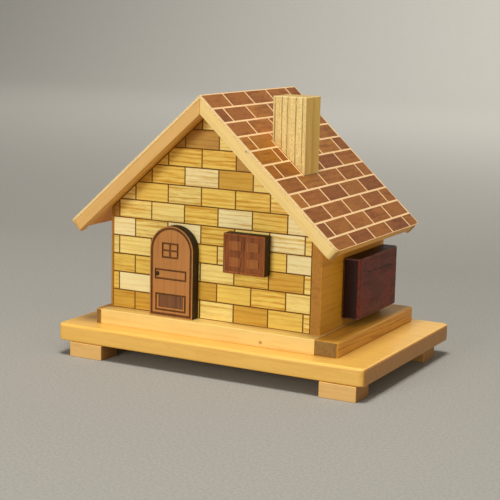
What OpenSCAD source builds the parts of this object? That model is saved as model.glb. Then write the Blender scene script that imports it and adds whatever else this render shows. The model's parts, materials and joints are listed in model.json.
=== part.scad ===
// Wooden puzzle box shaped like a small brick house on a footed base board.
// Millimetres. Origin at the bottom centre of the base, +X right, +Y back, +Z up.

/* [Base board] */
// Width of the base board
board_w = 145; // [120:1:180]
// Depth of the base board
board_d = 95; // [80:1:120]
// Thickness of the base board
board_t = 7.5; // [5:0.5:12]
// Radius of the base board's upright corners
board_r = 3; // [1:0.5:8]

/* [Feet] */
// Width of a foot block
foot_w = 16.2; // [10:0.1:24]
// Depth of a foot block
foot_d = 12.5; // [8:0.1:20]
// Height of a foot block
foot_h = 6.4; // [4:0.1:12]
// How far the left feet stand in from the board's end
foot_inset_left = 6.6; // [0:0.1:12]
// How far the right feet stand in from the board's end
foot_inset_right = 3.2; // [0:0.1:12]
// How far the back feet stand in from the board's back edge
foot_inset_back = 9; // [0:0.1:15]

/* [Plinth] */
// Width of the plinth over both end caps
plinth_w = 115.8; // [100:0.1:135]
// Depth of the plinth
plinth_d = 81.8; // [70:0.1:92]
// Height of the plinth
plinth_h = 6.4; // [4:0.1:10]
// Place of the plinth's left end
plinth_left = -59.2; // [-65:0.1:-50]
// Place of the plinth's front edge
plinth_front = -38; // [-45:0.1:-30]
// Width of the narrow end cap on the left
cap_left_w = 3; // [1:0.1:6]
// Width of the broad end cap on the right
cap_right_w = 10.2; // [6:0.1:16]
// Radius of the plinth's upright corners
plinth_r = 2; // [0.5:0.1:4]

/* [House] */
// Width of the house outside its side walls
house_w = 101.1; // [80:0.1:115]
// Depth of the house outside its gables
house_d = 64.4; // [50:0.1:75]
// Place of the house's left side
house_left = -56.1; // [-60:0.1:-50]
// Place of the house's front
house_front = -30.3; // [-36:0.1:-25]
// Thickness of the side walls
side_t = 4.5; // [3:0.1:7]
// Thickness of the boards behind the brick marquetry
gable_t = 4; // [3:0.1:7]
// Strip of the left wall's end grain left showing beside the bricks
left_strip = 1.2; // [0.5:0.1:3]
// Thickness of the floor board
floor_t = 4.2; // [3:0.1:6]

/* [Bricks] */
// Length of a brick with its joint
brick_l = 16.2; // [10:0.1:24]
// Height of a row of bricks with its joint
brick_h = 8; // [5:0.1:12]
// Place of one upright joint, from which the others are counted
brick_x = -11.3; // [-20:0.1:20]
// Width of the dark joint lines
joint_w = 0.55; // [0.3:0.05:1.2]
// Thickness of the marquetry panel
panel_t = 1.2; // [0.8:0.1:2]
// Thickness of the bricks let into that panel
brick_t = 0.8; // [0.4:0.1:1.6]

/* [Roof] */
// Height of the ridge above the table
ridge_z = 115.6; // [90:0.1:140]
// Slope of both sides of the roof, in degrees
pitch = 42.2; // [30:0.1:55]
// Length of a slope from ridge to eave
slope_l = 85.4; // [70:0.1:100]
// Depth of the roof from front to back
roof_d = 86.2; // [70:0.1:95]
// Place of the roof's front edge
roof_front = -43; // [-48:0.1:-35]
// Thickness of a roof slope behind its edge boards
roof_t = 4.2; // [3:0.1:7]
// Height of the edge boards at the front and back, with the roof's pale layer
edge_h = 5.8; // [4:0.1:9]
// Thickness of those edge boards from front to back
edge_t = 4.7; // [3:0.1:8]
// Radius of the eave corners
eave_r = 2.4; // [1:0.1:6]
// Thickness of the pale layer under the tiles
underlay_t = 1.1; // [0.8:0.1:2]
// Thickness of the tiles let into that layer
tile_t = 0.5; // [0.4:0.1:1]
// Length of a tile with its joint
tile_l = 19.3; // [12:0.1:28]
// Height of a row of tiles with its joint
tile_h = 7.9; // [5:0.1:12]
// Rows of tiles on a slope
tile_rows = 11; // [6:1:16]
// Width of the pale lines between tiles
tile_gap = 0.9; // [0.4:0.1:1.5]

/* [Chimney] */
// Left side of the chimney
chimney_left = 15.1; // [5:0.1:30]
// Front of the chimney
chimney_front = -18.4; // [-30:0.1:10]
// Width of the chimney
chimney_w = 15.2; // [10:0.1:22]
// Depth of the chimney
chimney_d = 13.8; // [8:0.1:20]
// Height of the chimney's top above the table
chimney_top = 115.2; // [95:0.1:135]
// Side of its square tenon
chimney_tenon = 7; // [4:0.1:10]
// How far the chimney lifts before its pin stops it
chimney_lift = 10; // [5:0.5:14]

/* [Door] */
// Left edge of the door
door_left = -33; // [-40:0.1:-20]
// Width of the door
door_w = 21; // [14:0.1:28]
// Height of the door to the top of its arch
door_h = 39; // [28:0.1:50]
// Thickness of the door
door_t = 4.9; // [3:0.1:7]
// How far the door slides up
door_lift = 12; // [6:0.5:16]
// Width of the engraved lines
groove_w = 0.8; // [0.4:0.1:1.5]
// Depth of the engraved lines
groove_t = 0.5; // [0.2:0.1:1.2]

/* [Window] */
// Left edge of the window block
window_left = 2.5; // [-5:0.1:15]
// Underside of the window block
window_z = 42.5; // [30:0.1:60]
// Width of the window block
window_w = 19.4; // [12:0.1:26]
// Height of the window block
window_h = 16.8; // [12:0.1:24]
// Thickness of the window block
window_t = 5.3; // [3:0.1:7]
// How far the window slides to the right
window_slide = 8; // [4:0.5:10]

/* [Drawer] */
// Front edge of the drawer's dark front block
block_front = -9.6; // [-15:0.1:5]
// Width of that block
block_w = 41.9; // [25:0.1:45]
// Underside of that block
block_z = 23.6; // [20:0.1:30]
// Height of that block
block_h = 25.7; // [15:0.1:35]
// How far that block stands out from the wall
block_out = 7.4; // [4:0.1:14]
// Radius of its upright edges
block_r = 2; // [0.5:0.1:4]
// Length of the drawer behind the block
drawer_l = 72.3; // [50:0.1:85]
// Thickness of the drawer's sides
drawer_side_t = 2.5; // [1.5:0.1:4]

/* [Hidden] */
$fn = 48;
eps = 0.01;
gap = 0.2;                 // between pieces that slide past each other
rest_gap = 0.06;           // under pieces that only rest on each other
far = 300;

board_z = foot_h;
plinth_z = board_z + board_t;
house_z = plinth_z + plinth_h;
plinth_right = plinth_left + plinth_w;
plinth_back = plinth_front + plinth_d;
house_right = house_left + house_w;
house_back = house_front + house_d;
ridge_x = house_left + house_w / 2;
floor_z = house_z + floor_t;

in_left = house_left + side_t;
in_right = house_right - side_t;
in_front = house_front + panel_t + gable_t;
in_back = house_back - panel_t - gable_t;
in_w = in_right - in_left;
panel_left = house_left + left_strip;

roof_back = roof_front + roof_d;
tile_margin = 0.5;         // plain edge around the tiles
eave_margin = 0.25;        // and along the eaves
tile_first = -44.3;        // depth from which whole tiles are counted
border_w = 0.9;            // pale line along the chimney's front

// Height of the roof's underside above a place along the width
function under_z(x) = ridge_z - roof_t / cos(pitch) - tan(pitch) * abs(x - ridge_x);

partition_t = 2.5;
partition_y = -8.5;
partition_h = 36.5;
bay_front = partition_y + partition_t;
drawer_z = floor_z + gap;
drawer_h = 21.4;
drawer_y0 = bay_front + gap;
drawer_y1 = in_back - 0.3;
drawer_x1 = house_right + 0.3;
drawer_x0 = drawer_x1 - drawer_l;
drawer_bottom_t = 2;
drawer_back_t = 3;
drawer_travel = 55;
shelf_z = drawer_z + drawer_h + 0.3;
shelf_t = 2.6;
stop_r = 1.5;
stop_fit = 0.03;
stop_x = drawer_x0 + drawer_back_t + drawer_travel + stop_r + 0.5;
stop_y = (drawer_y0 + drawer_y1) / 2;

door_z = house_z + 0.1;
door_back = house_front - gap;
door_front = door_back - door_t;
door_x = door_left + door_w / 2;
door_arch_r = door_w / 2;
key_w = 6;                 // tenon that carries the door or the window
key_h = 6;
keeper_t = 2.5;
keeper_over = 4;           // how far a keeper reaches past its tenon
door_key_z = 27.5;
window_front = door_back - window_t;
window_key_x = 5.5;
window_key_h = 5;
window_key_z = window_z + (window_h - window_key_h) / 2;

tenon_x = chimney_left + chimney_w / 2;
tenon_y = chimney_front + chimney_d / 2;
chimney_pin_r = 1;
chimney_pin_z = under_z(tenon_x) - (chimney_pin_r + gap) / cos(pitch) - chimney_lift;
tenon_z = chimney_pin_z - 2.5;

maple = "BurlyWood";
honey = "Goldenrod";
pale = "Moccasin";
dark = "SaddleBrown";
cherry = "Peru";
wenge = "#3a2a1e";
tile_colour = "#8a4a2e";
purple = "#5a2a2a";

// ---- shapes used more than once ----

// Flat outline with rounded corners, from its lower left corner
module rounded(w, d, r) {
    translate([r, 0]) square([w - 2 * r, d]);
    translate([0, r]) square([w, d - 2 * r]);
    for (x = [r, w - r], y = [r, d - r]) translate([x, y]) circle(r);
}

// Box between two corners
module box(a, b) {
    translate(a) cube(b - a);
}

// House-shaped plate between two widths, standing at depth y
module gable_plate(x0, x1, y, t, drop = rest_gap) {
    translate([0, y + t, 0]) rotate([90, 0, 0]) linear_extrude(t)
        polygon([[x0, house_z], [x1, house_z], [x1, under_z(x1) - drop],
            [ridge_x, under_z(ridge_x) - drop], [x0, under_z(x0) - drop]]);
}

// Side wall between two widths and two depths, its top cut to the roof's slope
module side_plate(x0, x1, y0, y1) {
    translate([0, y1, 0]) rotate([90, 0, 0]) linear_extrude(y1 - y0)
        polygon([[x0, house_z], [x1, house_z], [x1, under_z(x1) - rest_gap],
            [x0, under_z(x0) - rest_gap]]);
}

// Slots through the front wall for the door's and the window's tenons
module key_slots() {
    box([door_x - key_w / 2 - gap, house_front - 1, door_key_z - gap],
        [door_x + key_w / 2 + gap, in_front + 1, door_key_z + key_h + door_lift + gap]);
    box([window_key_x - gap, house_front - 1, window_key_z - gap],
        [window_key_x + key_w + window_slide + gap, in_front + 1,
            window_key_z + window_key_h + gap]);
}

// Every whole or cut brick of one gable, as separate blocks
module brick_field(y, t) {
    rows = floor((under_z(ridge_x) - house_z) / brick_h);
    x_right = in_right - joint_w / 2;
    first = floor((panel_left - brick_x) / brick_l) - 1;
    last = ceil((in_right - brick_x) / brick_l);
    intersection() {
        for (row = [0:rows], k = [first:last]) {
            shift = (row % 2 == 0) ? 0 : 0.5;
            x0 = max(brick_x + (k + shift) * brick_l, panel_left) + joint_w / 2;
            x1 = min(brick_x + (k + 1 + shift) * brick_l, in_right) - joint_w / 2;
            z0 = house_z + row * brick_h + joint_w / 2;
            if (x1 - x0 > 0.4 && under_z(min(max(ridge_x, x0), x1)) - z0 > 1.5)
                box([x0, y, z0], [x1, y + t, z0 + brick_h - joint_w]);
        }
        gable_plate(panel_left + joint_w / 2, x_right, y - 1, t + 2, joint_w);
    }
}

// Dark panel whose narrow walls are the joint lines between the bricks
module joint_panel(y, pocket_y) {
    difference() {
        gable_plate(panel_left, in_right, y, panel_t);
        brick_field(pocket_y, brick_t + 1);
    }
}

module foot(x, y) {
    color(maple) box([x, y, 0], [x + foot_w, y + foot_d, foot_h]);
}

// Puts children on a slope: x runs down from the ridge, z out of the roof
module on_slope(side) {
    translate([ridge_x, 0, ridge_z]) mirror([side < 0 ? 1 : 0, 0, 0])
        rotate([0, pitch, 0]) children();
}

// Keeps what lies on one side of the upright joint under the ridge
module half(side) {
    intersection() {
        children();
        translate([side > 0 ? ridge_x : ridge_x - far, -far / 2, 0]) cube(far);
    }
}

// One layer of a slope between two depths below its surface
module slope_layer(side, d0, d1) {
    half(side) on_slope(side) translate([-20, roof_front, -d1]) linear_extrude(d1 - d0)
        union() {
            square([slope_l, roof_d]);
            translate([20, 0]) rounded(slope_l, roof_d, eave_r);
        }
}

// Board under the pale layer along one gable edge, from depth y0 to y1
module edge_board(side, y0, y1) {
    intersection() {
        slope_layer(side, underlay_t, edge_h);
        translate([-far / 2, y0, 0]) cube([far, y1 - y0, far]);
    }
}

// Tiles of one slope as separate blocks, in the slope's own axes
module tile_field(t) {
    y_lo = roof_front + tile_margin;
    y_hi = roof_back - tile_margin;
    s_end = slope_l - eave_margin;
    intersection() {
        translate([0, y_lo, -t]) linear_extrude(2 * t) union() {
            square([slope_l / 2, y_hi - y_lo]);
            rounded(s_end, y_hi - y_lo, eave_r - tile_margin);
        }
        for (row = [0:tile_rows - 1], k = [0:5]) {
            shift = (row % 2 == 0) ? 0 : 0.5;
            y0 = max(tile_first + (k - shift) * tile_l + tile_gap / 2, y_lo);
            y1 = min(tile_first + (k + 1 - shift) * tile_l - tile_gap / 2, y_hi);
            s0 = max(row * tile_h + tile_gap / 2, tile_margin);
            s1 = min((row + 1) * tile_h - tile_gap / 2, s_end);
            if (y1 - y0 > 0.5)
                translate([s0, y0, -t]) cube([s1 - s0, y1 - y0, t]);
        }
    }
}

// What the chimney takes out of the right slope: its tenon's hole
module chimney_hole() {
    h = chimney_tenon / 2 + gap;
    box([tenon_x - h, tenon_y - h, 0], [tenon_x + h, tenon_y + h, far]);
}

// Pale line left along the chimney's front
module chimney_border() {
    box([chimney_left, chimney_front - border_w, 0],
        [chimney_left + chimney_w, chimney_front, far]);
}

module underlay(side) {
    difference() {
        slope_layer(side, 0, underlay_t);
        difference() {
            on_slope(side) translate([0, 0, tile_t]) tile_field(2 * tile_t);
            if (side > 0) chimney_border();
        }
        if (side > 0) chimney_hole();
    }
}

module tiles(side) {
    difference() {
        on_slope(side) tile_field(tile_t);
        if (side > 0) chimney_border();
        if (side > 0) chimney_hole();
    }
}

module roof_slab(side) {
    difference() {
        intersection() {
            slope_layer(side, underlay_t, roof_t);
            translate([-far / 2, roof_front + edge_t, 0])
                cube([far, roof_d - 2 * edge_t, far]);
        }
        if (side > 0) chimney_hole();
    }
}

// Batten under a slope that fits just inside a side wall
module batten(side) {
    x_out = (side > 0) ? in_right - 0.4 : in_left + 0.4;
    x_in = x_out - side * 7;
    z_low = under_z(x_out) - 5;
    color(maple) translate([0, in_back - 0.4, 0]) rotate([90, 0, 0])
        linear_extrude(in_back - in_front - 0.8)
            polygon([[x_out, z_low], [x_out, under_z(x_out)], [x_in, under_z(x_in)],
                [x_in, z_low]]);
}

// Arched outline of the door, shrunk by m on every side
module door_outline(m = 0) {
    spring = door_h - door_arch_r;
    translate([m - door_arch_r, m]) square([door_w - 2 * m, spring - m]);
    translate([0, spring]) circle(door_arch_r - m, $fn = 96);
}

// Line of groove_w around a rectangle
module frame_line(x0, z0, x1, z1) {
    difference() {
        translate([x0, z0]) square([x1 - x0, z1 - z0]);
        translate([x0 + groove_w, z0 + groove_w])
            square([x1 - x0 - 2 * groove_w, z1 - z0 - 2 * groove_w]);
    }
}

// Puts a flat outline upright on the front, from depth y back by t
module upright(x, y, z, t) {
    translate([x, y + t, z]) rotate([90, 0, 0]) linear_extrude(t) children();
}

// Plate behind the front wall that keeps a sliding piece on it
module keeper(x0, x1, z0, z1) {
    color(maple) box([x0, in_front + gap, z0], [x1, in_front + gap + keeper_t, z1]);
}

// ---- base ----

module base_board() {
    color(honey) translate([-board_w / 2, -board_d / 2, board_z])
        linear_extrude(board_t) rounded(board_w, board_d, board_r);
}
module foot_front_left() foot(-board_w / 2 + foot_inset_left, -board_d / 2);
module foot_front_right() foot(board_w / 2 - foot_inset_right - foot_w, -board_d / 2);
module foot_back_left()
    foot(-board_w / 2 + foot_inset_left, board_d / 2 - foot_inset_back - foot_d);
module foot_back_right()
    foot(board_w / 2 - foot_inset_right - foot_w, board_d / 2 - foot_inset_back - foot_d);

module plinth_part(x0, x1) {
    intersection() {
        translate([plinth_left, plinth_front, plinth_z]) linear_extrude(plinth_h)
            rounded(plinth_w, plinth_d, plinth_r);
        box([x0, plinth_front, plinth_z], [x1, plinth_back, house_z]);
    }
}
module plinth_panel() color(maple)
    plinth_part(plinth_left + cap_left_w, plinth_right - cap_right_w);
module plinth_cap_left() color(honey) plinth_part(plinth_left, plinth_left + cap_left_w);
module plinth_cap_right() color(dark) plinth_part(plinth_right - cap_right_w, plinth_right);

// ---- walls ----

module floor_board() color(pale)
    box([in_left, in_front, house_z], [in_right, in_back, floor_z]);

module front_wall() color(maple) difference() {
    gable_plate(in_left, in_right, house_front + panel_t, gable_t);
    key_slots();
}
module back_wall() color(maple)
    gable_plate(in_left, in_right, in_back, gable_t);
module left_wall() color(honey) {
    side_plate(house_left, panel_left, house_front, house_back);
    side_plate(panel_left, in_left, house_front + panel_t, house_back - panel_t);
}
module right_wall() color(honey) difference() {
    side_plate(in_right, house_right, house_front, house_back);
    box([in_right - 1, drawer_y0 - 0.1, floor_z],
        [house_right + 1, drawer_y1 + 0.1, shelf_z]);
}

module front_joint_panel() color(wenge) difference() {
    joint_panel(house_front, house_front - 1);
    key_slots();
}
module front_bricks() color(pale) difference() {
    brick_field(house_front, brick_t);
    key_slots();
}
module back_joint_panel() color(wenge)
    joint_panel(house_back - panel_t, house_back - brick_t);
module back_bricks() color(pale) brick_field(house_back - brick_t, brick_t);

module partition() color(pale)
    box([in_left, partition_y, floor_z], [in_right, bay_front, floor_z + partition_h]);
module shelf() color(pale) difference() {
    box([in_left, bay_front, shelf_z], [in_right, in_back, shelf_z + shelf_t]);
    translate([stop_x, stop_y, shelf_z - 1]) cylinder(r = stop_r + stop_fit, h = shelf_t + 2);
}
module drawer_stop_pin() color(maple)
    translate([stop_x, stop_y, shelf_z - 3]) cylinder(r = stop_r, h = shelf_t + 3);

// ---- roof ----

module roof_slab_left() color(maple) roof_slab(-1);
module roof_slab_right() color(maple) roof_slab(1);
module edge_front_left() color(honey) edge_board(-1, roof_front, roof_front + edge_t);
module edge_front_right() color(pale) edge_board(1, roof_front, roof_front + edge_t);
module edge_back_left() color(pale) edge_board(-1, roof_back - edge_t, roof_back);
module edge_back_right() color(honey) edge_board(1, roof_back - edge_t, roof_back);
module underlay_left() color(pale) underlay(-1);
module underlay_right() color(pale) underlay(1);
module tiles_left() color(tile_colour) tiles(-1);
module tiles_right() color(tile_colour) tiles(1);

module ridge_block() {
    half_w = 11;
    low = under_z(ridge_x + half_w);
    color(maple) translate([0, in_back - 0.4, 0]) rotate([90, 0, 0])
        linear_extrude(in_back - in_front - 0.8)
            polygon([[ridge_x - half_w, low], [ridge_x + half_w, low],
                [ridge_x, under_z(ridge_x)]]);
}
module batten_left() batten(-1);
module batten_right() batten(1);

// ---- chimney ----

module chimney_block() color(pale) difference() {
    box([chimney_left, chimney_front, ridge_z - 60],
        [chimney_left + chimney_w, chimney_front + chimney_d, chimney_top]);
    on_slope(1) translate([-far / 2, -far / 2, rest_gap - far]) cube(far);
    tenon_socket();
}
// Square socket in the chimney's foot for the top of its tenon
module tenon_socket() {
    h = chimney_tenon / 2;
    box([tenon_x - h, tenon_y - h, 0], [tenon_x + h, tenon_y + h, chimney_top - 12]);
}
module chimney_tenon_bar() color(maple) difference() {
    intersection() {
        tenon_socket();
        translate([0, 0, tenon_z]) translate([-far / 2, -far / 2, 0]) cube(far);
    }
    translate([tenon_x, tenon_y + far / 2, chimney_pin_z]) rotate([90, 0, 0])
        cylinder(r = chimney_pin_r + stop_fit, h = far);
}
module chimney_stop_pin() color(dark)
    translate([tenon_x, tenon_y + chimney_tenon / 2 + 2.2, chimney_pin_z])
        rotate([90, 0, 0]) cylinder(r = chimney_pin_r, h = chimney_tenon + 4.4);

// ---- door ----

knob_x = -6.75;
knob_z = 18.3;
knob_r = 0.95;
low_panel = [-6.1, 3.9, 6.1, 9.3];

module door_engraving() {
    difference() { door_outline(0.5); door_outline(1.5); }
    frame_line(-4.7, 25.2, 3.5, 31.9);
    translate([-1, 25.2]) square([groove_w, 6.7]);
    translate([-4.7, 28.15]) square([8.2, groove_w]);
    frame_line(-8.1, 15.9, 7.5, 20.5);
    frame_line(-7.7, 3.2 - groove_w, 7.4, 10.8 - groove_w);
}
module door_leaf() color(cherry) difference() {
    upright(door_x, door_front, door_z, door_t) door_outline();
    upright(door_x, door_front - 1, door_z, 1 + groove_t) door_engraving();
    upright(door_x, door_front - 1, door_z, 1 + groove_t)
        translate([low_panel[0], low_panel[1]])
            square([low_panel[2] - low_panel[0], low_panel[3] - low_panel[1]]);
    translate([door_x + knob_x, door_front + 2, door_z + knob_z]) rotate([90, 0, 0])
        cylinder(r = knob_r * 0.6 + stop_fit, h = 4);
}
module door_knob() color(dark) {
    translate([door_x + knob_x, door_front + 2, door_z + knob_z]) rotate([90, 0, 0])
        cylinder(r = knob_r * 0.6, h = 2 + eps);
    translate([door_x + knob_x, door_front, door_z + knob_z]) rotate([90, 0, 0])
        cylinder(r = knob_r, h = 0.6);
}
// Dark slip that fills the door's lower panel
module door_panel() color(dark)
    box([door_x + low_panel[0], door_front + 0.15, door_z + low_panel[1]],
        [door_x + low_panel[2], door_front + groove_t, door_z + low_panel[3]]);
module door_tenon() color(maple)
    box([door_x - key_w / 2, door_back, door_key_z],
        [door_x + key_w / 2, in_front + gap, door_key_z + key_h]);
module door_keeper() keeper(door_x - key_w / 2 - keeper_over, door_x + key_w / 2 + keeper_over,
    floor_z + 0.4, door_key_z + key_h + 2);

// ---- window ----

window_rim = 3;            // from the block's edge to its panes
window_bar = 2.85;         // between the panes
window_edge = 1.1;         // raised edge around the carved field
carve_t = 0.5;             // depth of that field
pane_w = (window_w - 2 * window_rim - window_bar) / 2;
pane_h = (window_h - 2 * window_rim - window_bar) / 2;

module window_leaf() color(dark) difference() {
    box([window_left, window_front, window_z],
        [window_left + window_w, door_back, window_z + window_h]);
    box([window_left + window_edge, window_front - 1, window_z + window_edge],
        [window_left + window_w - window_edge, window_front + carve_t,
            window_z + window_h - window_edge]);
}
// Four raised panes in the carved field
module window_pane() color(cherry)
    for (i = [0, 1], j = [0, 1])
        translate([window_left + window_rim + i * (pane_w + window_bar), window_front,
            window_z + window_rim + j * (pane_h + window_bar)])
            cube([pane_w, carve_t, pane_h]);
module window_tenon() color(maple)
    box([window_key_x, door_back, window_key_z],
        [window_key_x + key_w, in_front + gap, window_key_z + window_key_h]);
module window_keeper() keeper(window_key_x - keeper_over, window_key_x + key_w + keeper_over,
    window_key_z - keeper_over, window_key_z + window_key_h + keeper_over);

// ---- drawer ----

module drawer_front() color(purple)
    translate([drawer_x1, block_front, block_z]) linear_extrude(block_h) {
        square([block_out - block_r, block_w]);
        translate([0, block_r]) square([block_out, block_w - 2 * block_r]);
        for (y = [block_r, block_w - block_r])
            translate([block_out - block_r, y]) circle(block_r);
    }
module drawer_bottom() color(pale)
    box([drawer_x0, drawer_y0, drawer_z], [drawer_x1, drawer_y1, drawer_z + drawer_bottom_t]);
module drawer_side(y) color(maple)
    box([drawer_x0, y, drawer_z + drawer_bottom_t],
        [drawer_x1, y + drawer_side_t, drawer_z + drawer_h]);
module drawer_side_front() drawer_side(drawer_y0);
module drawer_side_back() drawer_side(drawer_y1 - drawer_side_t);
module drawer_back() color(maple)
    box([drawer_x0, drawer_y0 + drawer_side_t, drawer_z + drawer_bottom_t],
        [drawer_x0 + drawer_back_t, drawer_y1 - drawer_side_t, drawer_z + drawer_h]);

base_board();
foot_front_left();
foot_front_right();
foot_back_left();
foot_back_right();
plinth_panel();
plinth_cap_left();
plinth_cap_right();
floor_board();
front_wall();
back_wall();
left_wall();
right_wall();
front_joint_panel();
front_bricks();
back_joint_panel();
back_bricks();
partition();
shelf();
drawer_stop_pin();
roof_slab_left();
roof_slab_right();
edge_front_left();
edge_front_right();
edge_back_left();
edge_back_right();
underlay_left();
underlay_right();
tiles_left();
tiles_right();
ridge_block();
batten_left();
batten_right();
chimney_block();
chimney_tenon_bar();
chimney_stop_pin();
door_leaf();
door_knob();
door_panel();
door_tenon();
door_keeper();
window_leaf();
window_pane();
window_tenon();
window_keeper();
drawer_front();
drawer_bottom();
drawer_side_front();
drawer_side_back();
drawer_back();
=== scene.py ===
"""Looks of the wooden puzzle box shaped like a small brick house.

Every visible piece is made from its CAD node's own solid: its flat faces are joined, its
corners are eased, and it gets a solid wood whose figure runs through it in millimetres.
"""
import json
import math
import random

import bmesh
import bpy
from mathutils import Matrix, Vector


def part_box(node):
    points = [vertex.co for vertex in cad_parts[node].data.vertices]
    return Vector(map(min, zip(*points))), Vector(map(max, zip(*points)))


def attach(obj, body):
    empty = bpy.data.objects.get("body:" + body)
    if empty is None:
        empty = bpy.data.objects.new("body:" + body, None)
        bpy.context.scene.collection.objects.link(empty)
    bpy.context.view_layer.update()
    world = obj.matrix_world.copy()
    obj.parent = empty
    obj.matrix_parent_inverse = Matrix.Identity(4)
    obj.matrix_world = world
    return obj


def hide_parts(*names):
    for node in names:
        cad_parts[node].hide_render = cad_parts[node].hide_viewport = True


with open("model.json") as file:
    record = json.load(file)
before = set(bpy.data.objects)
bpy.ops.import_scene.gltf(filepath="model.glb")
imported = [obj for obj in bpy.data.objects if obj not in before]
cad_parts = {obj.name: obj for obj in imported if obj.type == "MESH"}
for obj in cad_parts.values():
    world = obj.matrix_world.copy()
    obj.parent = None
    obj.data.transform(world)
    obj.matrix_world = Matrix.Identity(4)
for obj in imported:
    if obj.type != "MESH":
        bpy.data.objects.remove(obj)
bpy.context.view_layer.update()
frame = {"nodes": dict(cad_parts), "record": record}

MM = 0.001
X, Y, Z = 0, 1, 2
BODY_OF = {node: body for body, nodes in frame["record"]["behaviour"]["bodies"].items()
           for node in nodes}

# Layout of the marquetry, in millimetres: a brick's length and height, the joint and the
# floor that bricks are counted from, a tile's length and height, and the tiles' first joint
BRICK_L, BRICK_H, BRICK_X, HOUSE_Z = 16.2, 8.0, -11.3, 20.3
TILE_L, TILE_H, TILE_FIRST = 19.3, 7.9, -44.3
PITCH = math.radians(42.2)
RIDGE_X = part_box("underlay_right")[0].x / MM
RIDGE_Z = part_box("underlay_right")[1].z / MM


def rgb(code):
    """Linear colour of a six-digit sRGB code."""
    parts = [int(code[i:i + 2], 16) / 255 for i in (1, 3, 5)]
    return tuple(c / 12.92 if c < 0.04045 else ((c + 0.055) / 1.055) ** 2.4
                 for c in parts) + (1.0,)


# ---- camera ----

def add_camera():
    """The photograph's viewpoint, with its slight roll."""
    azimuth, elevation, roll = math.radians(27.8), math.radians(10.04), math.radians(1.33)
    target, distance = Vector((0.0122, -0.0303, 0.0522)), 0.5704
    back = Vector((math.sin(azimuth) * math.cos(elevation),
                   -math.cos(azimuth) * math.cos(elevation), math.sin(elevation)))
    right = (-back).cross(Vector((0, 0, 1))).normalized()
    up = right.cross(-back)
    side = right * math.cos(roll) + up * math.sin(roll)
    top = up * math.cos(roll) - right * math.sin(roll)
    data = bpy.data.cameras.new("camera")
    data.lens, data.sensor_width = 99.6, 36.0
    data.clip_start, data.clip_end = 0.01, 50
    camera = bpy.data.objects.new("camera", data)
    bpy.context.scene.collection.objects.link(camera)
    turn = Matrix((side, top, back)).transposed().to_4x4()
    camera.matrix_world = Matrix.Translation(target + back * distance) @ turn
    bpy.context.scene.camera = camera


add_camera()


# ---- wood ----

class Graph:
    """One material's node tree, with short calls that add and join its nodes."""

    def __init__(self, name, **shader):
        self.material = bpy.data.materials.new(name)
        self.material.use_nodes = True
        self.tree = self.material.node_tree
        self.shader = self.tree.nodes["Principled BSDF"]
        for socket, value in shader.items():
            self.shader.inputs[socket.replace("_", " ")].default_value = value

    def put(self, socket, value):
        """Links a socket to value, or sets it where value is a plain one."""
        if isinstance(value, bpy.types.NodeSocket):
            self.tree.links.new(value, socket)
        else:
            socket.default_value = value

    def node(self, kind, inputs=None, **settings):
        """A new node of a kind, with these inputs and settings."""
        made = self.tree.nodes.new("ShaderNode" + kind)
        for key, value in settings.items():
            setattr(made, key, value)
        for key, value in (inputs or {}).items():
            self.put(made.inputs[key], value)
        return made

    def math(self, operation, *values, clamp=False):
        made = self.node("Math", operation=operation, use_clamp=clamp)
        for socket, value in zip(made.inputs, values):
            self.put(socket, value)
        return made.outputs[0]

    def vector(self, operation, a, b):
        made = self.node("VectorMath", operation=operation)
        self.put(made.inputs[0], a)
        self.put(made.inputs["Scale" if operation == "SCALE" else 1], b)
        return made.outputs["Value" if operation in ("DOT_PRODUCT", "DISTANCE") else 0]

    def mix(self, factor, a, b, mode="MIX"):
        made = self.node("Mix", data_type="RGBA", blend_type=mode)
        for socket, value in ((made.inputs[0], factor), (made.inputs[6], a),
                              (made.inputs[7], b)):
            self.put(socket, value)
        return made.outputs[2]

    def noise(self, vector, scale, detail=2.0, roughness=0.5):
        return self.node("TexNoise", {"Vector": vector, "Scale": scale, "Detail": detail,
                                      "Roughness": roughness}).outputs[0]

    def between(self, value, low, high, to_low=0.0, to_high=1.0):
        """value carried smoothly from low..high to to_low..to_high."""
        return self.node("MapRange", {"Value": value, "From Min": low, "From Max": high,
                                      "To Min": to_low, "To Max": to_high},
                         interpolation_type="SMOOTHSTEP").outputs[0]

    def steps(self, value, stops):
        """Grey ramp through (place, level) stops."""
        made = self.node("ValToRGB", {"Fac": value})
        ramp = made.color_ramp
        for i, (place, level) in enumerate(stops):
            point = ramp.elements[i] if i < 2 else ramp.elements.new(place)
            point.position = place
            point.color = (level, level, level, 1)
        return made.outputs[0]

    def attribute(self, name, output="Fac"):
        return self.node("Attribute", attribute_name=name).outputs[output]

    def place(self):
        """Place in the piece, in millimetres."""
        spot = self.node("TexCoord").outputs["Object"]
        return self.vector("SCALE", spot, 1000.0)

    def tilted(self, vector, tilt):
        """The vector turned about Y, so that X runs along a slope."""
        if not tilt:
            return vector
        return self.node("VectorRotate", {"Vector": vector, "Angle": tilt},
                         rotation_type="Y_AXIS").outputs[0]

    def facing(self, axis, tilt=0.0):
        """1 on faces that look along an axis, 0 beside it."""
        normal = self.tilted(self.node("TexCoord").outputs["Normal"], tilt)
        along = self.node("SeparateXYZ", {"Vector": normal}).outputs[axis]
        return self.math("ABSOLUTE", along)

    def bump(self, height, depth):
        """Relief of that depth in millimetres."""
        made = self.node("Bump", {"Height": height, "Distance": depth * MM,
                                  "Strength": 1.0})
        self.put(self.shader.inputs["Normal"], made.outputs[0])


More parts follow.
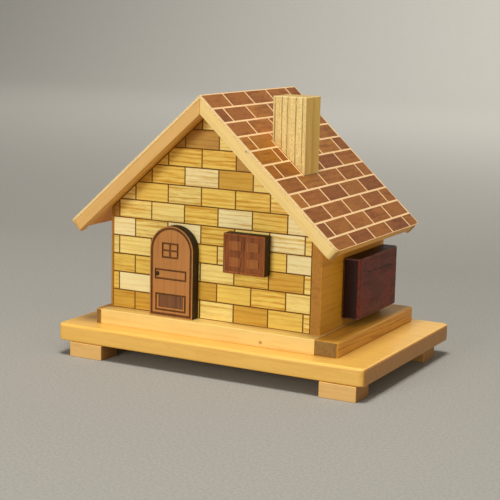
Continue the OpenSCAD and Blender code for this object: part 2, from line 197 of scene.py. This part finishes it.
def wood(name, light, dark, grain=X, ring=2.6, pith=(14.0, 40.0), rings=0.45, fibres=0.5,
         pores=0.25, rough=0.48, end=(0.62, 0.5, 0.38), blotch=0.25, wander=1.6, sway=0.16,
         stretch=0.045, edge_wear_and_highlight=0.35, by_piece=False, knot=None, coat=0.0, gloss=0.42,
         tilt=0.0):
    """Solid wood with growth rings round a pith, fibres, pores and darker end grain.

    grain is the axis it grew along, ring the ring width and pith the heart's place in the
    two other axes, both in millimetres. rings, fibres, pores and blotch say how strongly
    each shows, wander and sway how far and how fast the rings bend, stretch how short the
    figure is along the grain, edge_wear_and_highlight how much the eased edges are painted
    paler, as wear and as a painted highlight, and tilt the slope the board lies on. knot is
    a place, a size and a colour. by_piece reads each small piece's own tone, figure and
    depth of figure from the mesh.
    """
    g = Graph(name, Coat_Weight=coat, Coat_Roughness=0.35, Specular_IOR_Level=gloss)
    upright = g.place()
    place = g.tilted(upright, tilt)
    depth = 1.0
    if by_piece:
        place = g.vector("ADD", place, g.attribute("figure", "Vector"))
        depth = g.attribute("depth")
    long_place = g.vector("MULTIPLY", place,
                          tuple(stretch if i == grain else 1.0 for i in range(3)))
    dash = tuple(0.16 if i == grain else 1.0 for i in range(3))

    # Growth rings, bent a little along their length
    drift = g.math("SUBTRACT", g.noise(long_place, sway, 3.0), 0.5)
    parts = g.node("SeparateXYZ", {"Vector": place}).outputs
    across = [parts[i] for i in range(3) if i != grain]
    squares = [g.math("POWER", g.math("ADD", a, p), 2.0) for a, p in zip(across, pith)]
    radius = g.math("SQRT", g.math("ADD", *squares))
    radius = g.math("MULTIPLY_ADD", drift, wander * 6.0, radius)
    turn = g.math("FRACT", g.math("DIVIDE", radius, ring))
    late = g.steps(turn, [(0.0, 0.05), (1.0, 0.05), (0.5, 0.1), (0.8, 0.95), (0.91, 1.0)])
    late = g.math("MULTIPLY", late, g.between(g.noise(long_place, 0.45, 2.0), 0.3, 0.65,
                                              0.25, 1.15))

    # Fibres and pores
    fine = g.noise(long_place, 2.3, 4.0, 0.62)
    broad = g.noise(long_place, 0.7, 2.0)
    streak = g.math("ADD", g.between(fine, 0.3, 0.72), g.between(broad, 0.32, 0.68))
    dash_noise = g.noise(g.vector("MULTIPLY", place, dash), 2.6, 1.0)
    pore = g.between(dash_noise, 0.66, 0.74)
    cloud = g.noise(place, 0.07, 2.0)

    amount = g.math("MULTIPLY", late, rings)
    amount = g.math("MULTIPLY_ADD", g.math("SUBTRACT", streak, 0.8), fibres * 0.5, amount)
    amount = g.math("MULTIPLY_ADD", g.math("SUBTRACT", cloud, 0.5), blotch * 2.0, amount)
    amount = g.math("MULTIPLY", amount, depth)
    amount = g.math("MULTIPLY_ADD", pore, pores, amount, clamp=True)
    if by_piece:
        tone = g.attribute("tone", "Color")
        colour = g.mix(amount, tone, g.mix(1.0, tone, rgb(dark), "MULTIPLY"))
    else:
        colour = g.mix(amount, rgb(light), rgb(dark))

    # End grain is darker and shows the cut fibres as specks
    ends = g.between(g.facing(grain, tilt), 0.6, 0.85)
    speck = g.between(g.noise(place, 3.2, 3.0, 0.7), 0.35, 0.7, 0.72, 1.15)
    cut = g.mix(1.0, colour, end + (1.0,), "MULTIPLY")
    cut = g.mix(1.0, cut, g.node("CombineXYZ", {0: speck, 1: speck, 2: speck}).outputs[0],
                "MULTIPLY")
    colour = g.mix(ends, colour, cut)

    if knot:
        spot, size, knot_colour = knot
        oval = (0.8, 0.25, 1.0)
        away = g.vector("DISTANCE", g.vector("MULTIPLY", upright, oval),
                        tuple(a * b for a, b in zip(spot, oval)))
        colour = g.mix(g.between(away, size * 0.4, size * 1.3, 0.8, 0.0), colour,
                       rgb(knot_colour))

    # Eased edges are painted a little paler, unevenly: partly wear, partly a painted
    # highlight where the edges catch the light
    rubbed_and_lit_edge = g.math("MULTIPLY", g.attribute("edge"), g.between(cloud, 0.35, 0.6, 0.4, 1.0))
    rubbed_and_lit_edge = g.math("MULTIPLY", rubbed_and_lit_edge, edge_wear_and_highlight)
    colour = g.mix(rubbed_and_lit_edge, colour, g.mix(1.0, colour, (1.35, 1.3, 1.2, 1.0), "MULTIPLY"))

    g.put(g.shader.inputs["Base Color"], colour)
    shine = g.math("MULTIPLY_ADD", fine, 0.16, rough - 0.08)
    g.put(g.shader.inputs["Roughness"], g.math("MULTIPLY_ADD", ends, 0.16, shine))
    height = g.math("MULTIPLY_ADD", pore, -0.9, g.math("MULTIPLY", fine, 0.6))
    g.bump(height, 0.035)
    return g.material


def burnt(name, light, dark, rough=0.6):
    """Wood charred by a laser cut, with faint upright ribs from the cutting."""
    g = Graph(name, Specular_IOR_Level=0.3)
    place = g.place()
    ribs = g.noise(g.vector("MULTIPLY", place, (1.0, 0.12, 1.0)), 1.6, 3.0, 0.6)
    soot = g.noise(place, 0.35, 3.0)
    amount = g.math("ADD", g.between(ribs, 0.3, 0.7, 0.0, 0.6),
                    g.between(soot, 0.4, 0.7, 0.0, 0.4))
    g.put(g.shader.inputs["Base Color"], g.mix(amount, rgb(dark), rgb(light)))
    g.put(g.shader.inputs["Roughness"], g.math("MULTIPLY_ADD", ribs, 0.2, rough - 0.1))
    g.bump(ribs, 0.05)
    return g.material


def purple(name):
    """Dark purple-red wood with open pores and a crack; its eased edges are painted paler
    as a highlight, and every face but the two that look along X is painted nearly black as
    shade.
    """
    g = Graph(name, Specular_IOR_Level=0.2)
    place = g.place()
    flow = g.vector("MULTIPLY", place, (1.0, 0.1, 1.0))
    bands = g.noise(flow, 0.32, 4.0, 0.6)
    fine = g.noise(flow, 2.2, 3.0, 0.6)
    pore = g.between(g.noise(g.vector("MULTIPLY", place, (1.0, 0.6, 1.0)), 1.25, 1.0),
                     0.62, 0.7)
    cloud = g.noise(place, 0.11, 2.0)
    amount = g.math("ADD", g.between(bands, 0.3, 0.7, 0.0, 0.7),
                    g.between(fine, 0.3, 0.7, 0.0, 0.3))
    colour = g.mix(amount, rgb("#532419"), rgb("#7c4431"))
    colour = g.mix(g.between(cloud, 0.48, 0.62, 0.0, 0.75), colour, rgb("#82372a"))
    colour = g.mix(g.math("MULTIPLY", pore, 0.85), colour, rgb("#220b07"))

    # Crack across the outer face: thin, wavy, from near the front edge to past the middle
    parts = g.node("SeparateXYZ", {"Vector": place}).outputs
    waver = g.math("MULTIPLY", g.math("SUBTRACT", g.noise(place, 0.25, 3.0), 0.5), 1.6)
    line = g.math("MULTIPLY_ADD", parts[Y], -0.028, 42.9)
    off = g.math("ABSOLUTE", g.math("SUBTRACT", g.math("ADD", parts[Z], waver), line))
    span = g.math("MULTIPLY", g.between(parts[Y], -3.0, 0.0),
                  g.between(parts[Y], 26.0, 22.0))
    span = g.math("MULTIPLY", span, g.between(parts[X], 51.0, 52.0))
    crack = g.math("MULTIPLY", g.between(off, 0.12, 0.34, 1.0, 0.0), span)
    colour = g.mix(crack, colour, rgb("#1a0606"))

    # Painted shade: nearly black on every face but the two that look along X. Painted
    # highlight: paler where the edges are eased
    cut = g.between(g.facing(X), 0.35, 0.75, 0.94, 0.0)
    colour = g.mix(cut, colour, rgb("#1a0502"))
    rubbed_and_lit_edge = g.math("MULTIPLY", g.attribute("edge"), g.between(fine, 0.38, 0.6, 0.1, 0.85))
    colour = g.mix(rubbed_and_lit_edge, colour, rgb("#8a6352"))
    g.put(g.shader.inputs["Base Color"], colour)
    g.put(g.shader.inputs["Roughness"], g.math("MULTIPLY_ADD", fine, 0.22, 0.4))
    height = g.math("MULTIPLY_ADD", g.math("MAXIMUM", pore, crack), -1.0,
                    g.math("MULTIPLY", fine, 0.3))
    g.bump(height, 0.12)
    return g.material


def ash(name):
    """Ash with bands of long dark pores along Z."""
    g = Graph(name, Specular_IOR_Level=0.35)
    place = g.place()
    long_place = g.vector("MULTIPLY", place, (1.0, 1.0, 0.05))
    parts = g.node("SeparateXYZ", {"Vector": place}).outputs
    sway = g.math("SUBTRACT", g.noise(long_place, 0.2, 2.0), 0.5)
    lane = g.math("MULTIPLY_ADD", parts[Y], 0.12,
                  g.math("MULTIPLY_ADD", sway, 3.0, parts[X]))
    turn = g.math("FRACT", g.math("DIVIDE", lane, 3.1))
    band = g.steps(turn, [(0.0, 0.0), (1.0, 0.0), (0.39, 0.08), (0.5, 1.0), (0.62, 0.08)])
    gaps = g.noise(g.vector("MULTIPLY", place, (1.0, 1.0, 0.22)), 1.6, 3.0, 0.7)
    broken = g.between(gaps, 0.31, 0.46)
    specks = g.noise(g.vector("MULTIPLY", place, (1.0, 1.0, 0.4)), 2.6, 2.0)
    grit = g.between(specks, 0.45, 0.62, 0.0, 0.3)
    fine = g.noise(long_place, 2.6, 3.0, 0.6)
    tone = g.noise(long_place, 0.35, 2.0)
    colour = g.mix(g.between(fine, 0.3, 0.72, 0.0, 0.55), rgb("#fde49a"), rgb("#e2b860"))
    colour = g.mix(g.between(tone, 0.4, 0.7, 0.0, 0.4), colour, rgb("#cfa155"))

    # The sides are golden and have little of the dark lines
    side = g.between(g.facing(X), 0.6, 0.85)
    front_only = g.math("SUBTRACT", 1.0, g.math("MULTIPLY", side, 0.8))
    pores = g.math("MULTIPLY", g.math("MAXIMUM", g.math("MULTIPLY", band, broken), grit),
                   front_only)
    colour = g.mix(g.math("MULTIPLY", pores, 0.9), colour, rgb("#6a4510"))
    ends = g.between(g.facing(Z), 0.6, 0.85)
    colour = g.mix(ends, colour, g.mix(1.0, colour, (0.75, 0.66, 0.5, 1.0), "MULTIPLY"))
    colour = g.mix(side, colour, g.mix(1.0, colour, (1.2, 1.0, 0.58, 1.0), "MULTIPLY"))
    # Eased edges painted paler: partly wear, partly a painted highlight
    rubbed_and_lit_edge = g.math("MULTIPLY", g.attribute("edge"), 0.5)
    colour = g.mix(rubbed_and_lit_edge, colour, rgb("#f7e3ac"))
    g.put(g.shader.inputs["Base Color"], colour)
    g.put(g.shader.inputs["Roughness"], g.math("MULTIPLY_ADD", fine, 0.2, 0.45))
    g.bump(g.math("MULTIPLY_ADD", pores, -1.0, g.math("MULTIPLY", fine, 0.35)), 0.11)
    return g.material


WOODS = {
    "board": wood("honey_maple", "#edba58", "#d0922f", pith=(160, 22), ring=3.4, rings=0.3,
                  fibres=0.45, coat=0.32, rough=0.4, end=(0.66, 0.5, 0.42)),
    "foot": wood("foot_maple", "#e3b46a", "#bf8c44", pith=(60, -30), ring=2.2, rings=0.2),
    "plinth": wood("light_maple", "#f4d07a", "#dcaa50", pith=(90, 14), ring=3.8, rings=0.28,
                   fibres=0.35, coat=0.25, knot=((22.0, -38.0, 15.9), 0.75, "#a8692a")),
    "cap": wood("cap_wood", "#dea23a", "#ae701c", grain=Y, pith=(-32, -37), ring=1.5,
                rings=0.6, end=(0.43, 0.46, 0.62), coat=0.1),
    "wall": wood("side_wall_wood", "#f0ac2c", "#c98418", grain=Y, pith=(-70, -60), ring=2.8,
                 rings=0.35, fibres=0.5, end=(0.62, 0.57, 0.82)),
    "plain": wood("plain_wood", "#ecd2a0", "#cfa767", rings=0.3, pores=0.15),
    "plain_y": wood("plain_wood_deep", "#ecd2a0", "#cfa767", grain=Y, rings=0.3,
                    pores=0.15),
    "plain_z": wood("plain_wood_upright", "#ecd2a0", "#cfa767", grain=Z, rings=0.3,
                    pores=0.15),
    "slab": wood("slab_wood", "#eeb04a", "#cb8a2c", grain=Y, pith=(45, -60), ring=2.4,
                 rings=0.3, fibres=0.4, edge_wear_and_highlight=0.1),
    "edge_tan": wood("edge_wood_tan", "#e0b066", "#c08a40", pith=(45, -60), ring=2.4,
                     rings=0.12, fibres=0.25, pores=0.3, blotch=0.35, tilt=PITCH),
    "edge_pale": wood("edge_wood_pale", "#f2d083", "#d8a957", pith=(100, 30), ring=3.2,
                      rings=0.15, fibres=0.3, pores=0.15, tilt=-PITCH, edge_wear_and_highlight=0.6,
                      knot=((16.4, -43.0, 94.3), 0.6, "#241405")),
    "edge_pale_left": wood("edge_wood_pale_left", "#f2d083", "#d8a957", pith=(100, 30),
                           ring=3.2, rings=0.15, fibres=0.3, tilt=PITCH),
    "edge_tan_right": wood("edge_wood_tan_right", "#e0b066", "#c08a40", pith=(45, -60),
                           ring=2.4, rings=0.12, fibres=0.25, tilt=-PITCH),
    "underlay": wood("pale_maple", "#fad096", "#efb674", grain=Y, rings=0.12, pores=0.05,
                     end=(1.0, 1.12, 1.05), edge_wear_and_highlight=0.2),
    "bricks": wood("brick_woods", "#ffffff", "#dab966", pith=(9, 7), ring=1.8, rings=0.8,
                   fibres=0.9, pores=0.3, wander=0.32, sway=0.5, stretch=0.09, edge_wear_and_highlight=0.1,
                   by_piece=True, rough=0.52, gloss=0.3),
    "tiles": wood("tile_wood", "#ffffff", "#a67a56", grain=Y, pith=(12, 20), ring=2.2,
                  rings=0.4, fibres=1.2, pores=0.6, wander=0.3, sway=0.3, stretch=0.2,
                  blotch=0.9, edge_wear_and_highlight=0.1, by_piece=True, rough=0.5, gloss=0.22,
                  end=(0.9, 0.85, 0.8)),
    "lines": wood("walnut_lines", "#7c5112", "#58360a", rings=0.3, pores=0.3, gloss=0.15),
    "cherry": wood("cherry", "#bb7b37", "#91541d", grain=Z, pith=(60, 30), ring=3.5,
                   rings=0.22, fibres=0.45, pores=0.35, edge_wear_and_highlight=0.5, end=(0.6, 0.5, 0.45)),
    "window": wood("window_cherry", "#92501d", "#542608", grain=Z, pith=(20, 33), ring=2.4,
                   rings=0.4, fibres=0.9, pores=0.5, blotch=0.7, edge_wear_and_highlight=1.0, gloss=0.25,
                   end=(0.6, 0.5, 0.45)),
    "pane": wood("pane_cherry", "#a26029", "#663110", grain=Z, pith=(20, 33), ring=2.4,
                 rings=0.4, fibres=0.8, pores=0.45, blotch=0.6, edge_wear_and_highlight=0.8, gloss=0.25),
    "panel": wood("dark_cherry", "#7a4a1e", "#4a270d", grain=Z, pith=(8, 30), ring=3.0,
                  rings=0.5, fibres=0.6, edge_wear_and_highlight=0.2),
    "burnt": burnt("burnt_edge", "#3a250c", "#1b1006"),
    "engraved": burnt("engraved_line", "#84501c", "#5f370f", rough=0.7),
    "purple": purple("purple_wood"),
    "ash": ash("ash"),
    "peg": wood("peg_wood", "#8a5a33", "#5d3819", grain=Y, rings=0.3, ring=1.2),
}


# ---- pieces ----

FLAT = math.radians(0.5)      # faces that meet at less than this are one flat face
CORNER = math.radians(30)     # an outward corner that turns more than this is eased
CREASE = math.radians(38)     # shading breaks at an edge that turns more than this


def solid_of(node):
    """A CAD node's solid as a bmesh with its flat faces joined."""
    bm = bmesh.new()
    bm.from_mesh(frame["nodes"][node].data)
    bmesh.ops.remove_doubles(bm, verts=bm.verts, dist=0.001 * MM)
    bmesh.ops.dissolve_limit(bm, angle_limit=FLAT, verts=bm.verts, edges=bm.edges)
    return bm


def islands(bm):
    """The separate solids of a bmesh, each as a list of faces."""
    left, found = set(bm.faces), []
    while left:
        seed = min(left, key=lambda f: f.index)
        left.discard(seed)
        group, edge_of = [seed], [seed]
        while edge_of:
            face = edge_of.pop()
            for edge in face.edges:
                for other in edge.link_faces:
                    if other in left:
                        left.discard(other)
                        group.append(other)
                        edge_of.append(other)
        found.append(group)
    return found


def ease(bm, width):
    """Rounds the outward corners and marks the new faces as edge."""
    mark = bm.faces.layers.float.new("edge")
    corners = [e for e in bm.edges
               if e.is_manifold and e.calc_face_angle_signed(0.0) > CORNER]
    made = bmesh.ops.bevel(bm, geom=corners, offset=width * MM, segments=3, profile=0.5,
                           affect="EDGES", clamp_overlap=True)
    for face in made["faces"]:
        face[mark] = 1.0


def finish_piece(bm, node, woods, name):
    """Makes the object, smooths it, and puts it in its CAD node's place."""
    mesh = bpy.data.meshes.new(name)
    bmesh.ops.recalc_face_normals(bm, faces=bm.faces)
    bm.to_mesh(mesh)
    bm.free()
    for kind in woods:
        mesh.materials.append(WOODS[kind])
    mesh.polygons.foreach_set("use_smooth", [True] * len(mesh.polygons))
    mesh.set_sharp_from_angle(angle=CREASE)
    piece = bpy.data.objects.new(name, mesh)
    bpy.context.scene.collection.objects.link(piece)
    weight = piece.modifiers.new("even_shading", "WEIGHTED_NORMAL")
    weight.keep_sharp = True
    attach(piece, BODY_OF[node])
    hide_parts(node)
    return piece


def board(node, woods, edge=0.3, pick=None):
    """A solid board, its corners eased by edge millimetres.

    Where woods is a list, pick(centre, normal) chooses each face's wood from it.
    """
    bm = solid_of(node)
    ease(bm, edge)
    if pick:
        for face in bm.faces:
            face.material_index = pick(face.calc_center_median() / MM, face.normal)
    return finish_piece(bm, node, woods if isinstance(woods, list) else [woods],
                        node + "_wood")


INLAY_EDGE = 0.12                            # how far inlaid pieces are eased, in mm
STRONG, FAINT = (1.15, 1.5), (0.45, 0.8)     # how strongly an inlaid piece's figure shows
PALE, PALE_STRENGTH = "cC", 0.55             # the palest bricks show less of it


def inlay(node, wood_name, letters, tones, cell, seed):
    """Many small inlaid pieces, each with its own tone and its own place in the tree.

    cell(corners) gives a piece's row and its number in that row, and letters[row] its
    tone's letter. A capital letter has a strong figure.
    """
    bm = solid_of(node)
    tone = bm.faces.layers.float_color.new("tone")
    figure = bm.faces.layers.float_vector.new("figure")
    depth = bm.faces.layers.float.new("depth")
    bm.faces.index_update()
    chance = random.Random(seed)
    plan = []
    for group in islands(bm):
        corners = [v.co / MM for f in group for v in f.verts]
        plan.append((cell(corners), group))
    plan.sort(key=lambda entry: entry[0])
    for (row, number), group in plan:
        line = letters[row % len(letters)]
        letter = line[number % len(line)]
        shade = 1 + chance.uniform(-0.045, 0.045)
        colour = [c * shade for c in rgb(tones[letter.lower()])[:3]] + [1.0]
        offset = (chance.uniform(-900, 900), chance.uniform(-14, 14),
                  chance.uniform(-16, 16))
        strength = chance.uniform(*(STRONG if letter.isupper() else FAINT))
        if letter in PALE:
            strength *= PALE_STRENGTH
        for face in group:
            face[tone], face[figure], face[depth] = colour, offset, strength
    ease(bm, INLAY_EDGE)
    return finish_piece(bm, node, [wood_name], node + "_inlay")


# ---- base ----

board("base_board", "board", edge=1.1)
for corner in ("front_left", "front_right", "back_left", "back_right"):
    board("foot_" + corner, "foot", edge=0.35)
board("plinth_panel", "plinth", edge=0.3)
board("plinth_cap_left", "cap", edge=0.5)
board("plinth_cap_right", "cap", edge=0.6)

# ---- walls ----

board("left_wall", "wall")
board("right_wall", "wall")
for node in ("floor_board", "front_wall", "back_wall", "partition", "shelf"):
    board(node, "plain")
board("drawer_stop_pin", "plain_z")
board("front_joint_panel", "lines", edge=0.05)
board("back_joint_panel", "lines", edge=0.05)

# Tones of the brick woods, palest to darkest, and the gables' rows from the bottom up. On
# the front gable the darkest tone, b, stands only on bricks next to the roof slabs, where
# the overhang shades the wall: partly painted shade
BRICK_TONES = {"c": "#ffedae", "y": "#fde286", "g": "#f7d160", "o": "#dcab3c",
               "b": "#c29543"}
FRONT_ROWS = ["oogyogY", "gcoogGy", "GgyyGoY", "yyggYgc", "cYcGyCY", "bYyGCGc", "ygYgGYy",
              "ooGCoyy", "ggGGbgg", "bbbbyyy", "bbbyyyy"]
BACK_ROWS = ["gyYogcG", "YogGyco", "cGygoYg", "gYcoGyg", "oygYcGy", "GcYgoyY", "yGoYgcg",
             "goYyGcy", "yYgcGog", "gGyoYyc", "oyGgycy"]


def brick_cell(corners):
    """Row and number of the brick with these corners."""
    row = round((min(c.z for c in corners) - HOUSE_Z) / BRICK_H)
    middle = (min(c.x for c in corners) + max(c.x for c in corners)) / 2
    number = math.floor((middle - BRICK_X) / BRICK_L - 0.5 * (row % 2))
    left_of_first = 4 if row % 2 else 3
    return row, number + left_of_first


inlay("front_bricks", "bricks", FRONT_ROWS, BRICK_TONES, brick_cell, seed=5)
inlay("back_bricks", "bricks", BACK_ROWS, BRICK_TONES, brick_cell, seed=11)

# ---- roof ----

def eave_end(centre, normal):
    """0 the pale faces, 1 the golden end along the eave."""
    down_slope = abs(normal.x) * math.cos(PITCH) - normal.z * math.sin(PITCH)
    return 1 if down_slope > 0.8 else 0


board("roof_slab_left", "slab", edge=0.6)
board("roof_slab_right", "slab", edge=0.6)
for node, kind in (("edge_front_left", "edge_tan"), ("edge_front_right", "edge_pale"),
                   ("edge_back_left", "edge_pale_left"),
                   ("edge_back_right", "edge_tan_right")):
    board(node, kind, edge=0.4)
board("underlay_left", ["underlay", "slab"], edge=0.12, pick=eave_end)
board("underlay_right", ["underlay", "slab"], edge=0.12, pick=eave_end)

TILE_TONES = {"r": "#9c5c1c", "d": "#8c4e18", "n": "#ab6c20", "m": "#9f6020"}
TILE_ROWS = ["mrmrd", "drnmd", "mnrrm", "nnmrm", "nmnnd", "rmrdr", "rnmrr", "nrdmd",
             "rmmrr", "dmmrr", "mdrdm"]


def tile_cell(corners):
    """Row down the slope, and number in it, of the tile with these corners."""
    down = [abs(c.x - RIDGE_X) * math.cos(PITCH) + (RIDGE_Z - c.z) * math.sin(PITCH)
            for c in corners]
    row = int((min(down) + max(down)) / 2 / TILE_H)
    middle = (min(c.y for c in corners) + max(c.y for c in corners)) / 2
    return row, math.floor((middle - TILE_FIRST) / TILE_L + 0.5 * (row % 2))


inlay("tiles_left", "tiles", TILE_ROWS[::-1], TILE_TONES, tile_cell, seed=23)
inlay("tiles_right", "tiles", TILE_ROWS, TILE_TONES, tile_cell, seed=17)
for node in ("ridge_block", "batten_left", "batten_right"):
    board(node, "plain_y")

# ---- chimney ----

board("chimney_block", "ash", edge=0.35)
board("chimney_tenon_bar", "plain_z")
board("chimney_stop_pin", "peg", edge=0.2)

# ---- door and window ----

DOOR_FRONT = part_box("door_leaf")[0].y / MM
WINDOW_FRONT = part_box("window_leaf")[0].y / MM
FACE, GROOVE = 0.14, 0.56     # how deep the front's own faces and its carving reach
RIM = 0.4                     # the carving is further than this from the outline


def door_face(centre, normal):
    """0 the face, 1 the charred sides and back, 2 the engraved lines."""
    depth = centre.y - DOOR_FRONT
    if depth < FACE:
        return 0
    return 2 if depth < GROOVE and on_door(centre, RIM) else 1


def on_door(spot, inset):
    """Whether a place is further in than inset from the door's arched outline."""
    low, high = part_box("door_leaf")
    middle, radius = (low.x + high.x) / 2 / MM, (high.x - low.x) / 2 / MM
    spring = high.z / MM - radius
    rise = max(spot.z - spring, 0)
    return (math.hypot(spot.x - middle, rise) < radius - inset
            and spot.z > low.z / MM + inset)


def window_face(centre, normal):
    """0 the face and its recesses, 1 the charred sides and back."""
    depth = centre.y - WINDOW_FRONT
    return 0 if depth < GROOVE and normal.y < -0.3 else 1


board("door_leaf", ["cherry", "burnt", "engraved"], edge=0.22, pick=door_face)
board("door_panel", "panel", edge=0.1)
board("door_knob", "burnt", edge=0.2)
board("door_tenon", "plain_y", edge=0.2)
board("door_keeper", "plain_z")
board("window_leaf", ["window", "burnt"], edge=0.4, pick=window_face)
board("window_pane", "pane", edge=0.15)
board("window_tenon", "plain_y", edge=0.2)
board("window_keeper", "plain_z")

# ---- drawer ----

board("drawer_front", "purple", edge=0.6)
board("drawer_bottom", "plain", edge=0.2)
board("drawer_side_front", "plain", edge=0.25)
board("drawer_side_back", "plain", edge=0.25)
board("drawer_back", "plain_y", edge=0.25)


# ---- floor and light ----

def add_floor():
    """A wide plain floor that curves up into a backdrop behind the object."""
    g = Graph("floor_cloth", Specular_IOR_Level=0.1, Roughness=0.95)
    place = g.place()
    weave = g.noise(place, 0.9, 3.0, 0.6)
    g.put(g.shader.inputs["Base Color"],
          g.mix(g.between(weave, 0.3, 0.7), rgb("#99968f"), rgb("#a5a29b")))
    g.bump(weave, 0.08)
    bm = bmesh.new()
    near, bend, radius, top, half_width = -3.0, 1.6, 0.9, 3.2, 7.0
    profile = [(near, 0.0), (bend, 0.0)]
    for degrees in range(6, 91, 6):
        turn = math.radians(degrees)
        profile.append((bend + radius * math.sin(turn), radius - radius * math.cos(turn)))
    profile.append((bend + radius, top))
    rows = [[bm.verts.new((x, y, z)) for y, z in profile]
            for x in (-half_width, half_width)]
    for i in range(len(profile) - 1):
        bm.faces.new((rows[0][i], rows[1][i], rows[1][i + 1], rows[0][i + 1]))
    mesh = bpy.data.meshes.new("floor")
    bm.to_mesh(mesh)
    bm.free()
    mesh.materials.append(g.material)
    mesh.polygons.foreach_set("use_smooth", [True] * len(mesh.polygons))
    floor = bpy.data.objects.new("floor", mesh)
    bpy.context.scene.collection.objects.link(floor)


HOUSE = (0, 0, 0.05)          # the place that the lights stand round


def add_light(name, azimuth, elevation, distance, size, watts, colour, aim=HOUSE):
    """A square soft light at a distance from the house. Azimuth 0 is straight in front."""
    data = bpy.data.lights.new(name, "AREA")
    data.size, data.energy, data.color = size, watts, colour
    light = bpy.data.objects.new(name, data)
    a, e = math.radians(azimuth), math.radians(elevation)
    back = Vector((math.sin(a) * math.cos(e), -math.cos(a) * math.cos(e), math.sin(e)))
    light.location = Vector(HOUSE) + back * distance
    away = light.location - Vector(aim)
    light.rotation_euler = away.to_track_quat("Z", "Y").to_euler()
    bpy.context.scene.collection.objects.link(light)


add_floor()
add_light("key", -8, 11.5, 1.1, 0.36, 5.75, (1.0, 0.97, 0.92))
add_light("fill", 72, 20, 1.4, 0.9, 2.1, (1.0, 0.97, 0.92))
add_light("top", 14, 80, 1.2, 0.32, 12.2, (1.0, 0.98, 0.94))
add_light("backdrop", 180, 55, 2.0, 1.5, 64, (1.0, 0.99, 0.97), aim=(0, 2.6, 0.9))

world = bpy.data.worlds.new("studio")
world.use_nodes = True
world.node_tree.nodes["Background"].inputs["Color"].default_value = (1.0, 0.98, 0.95, 1)
world.node_tree.nodes["Background"].inputs["Strength"].default_value = 0.22
bpy.context.scene.world = world
bpy.context.scene.view_settings.view_transform = "Standard"
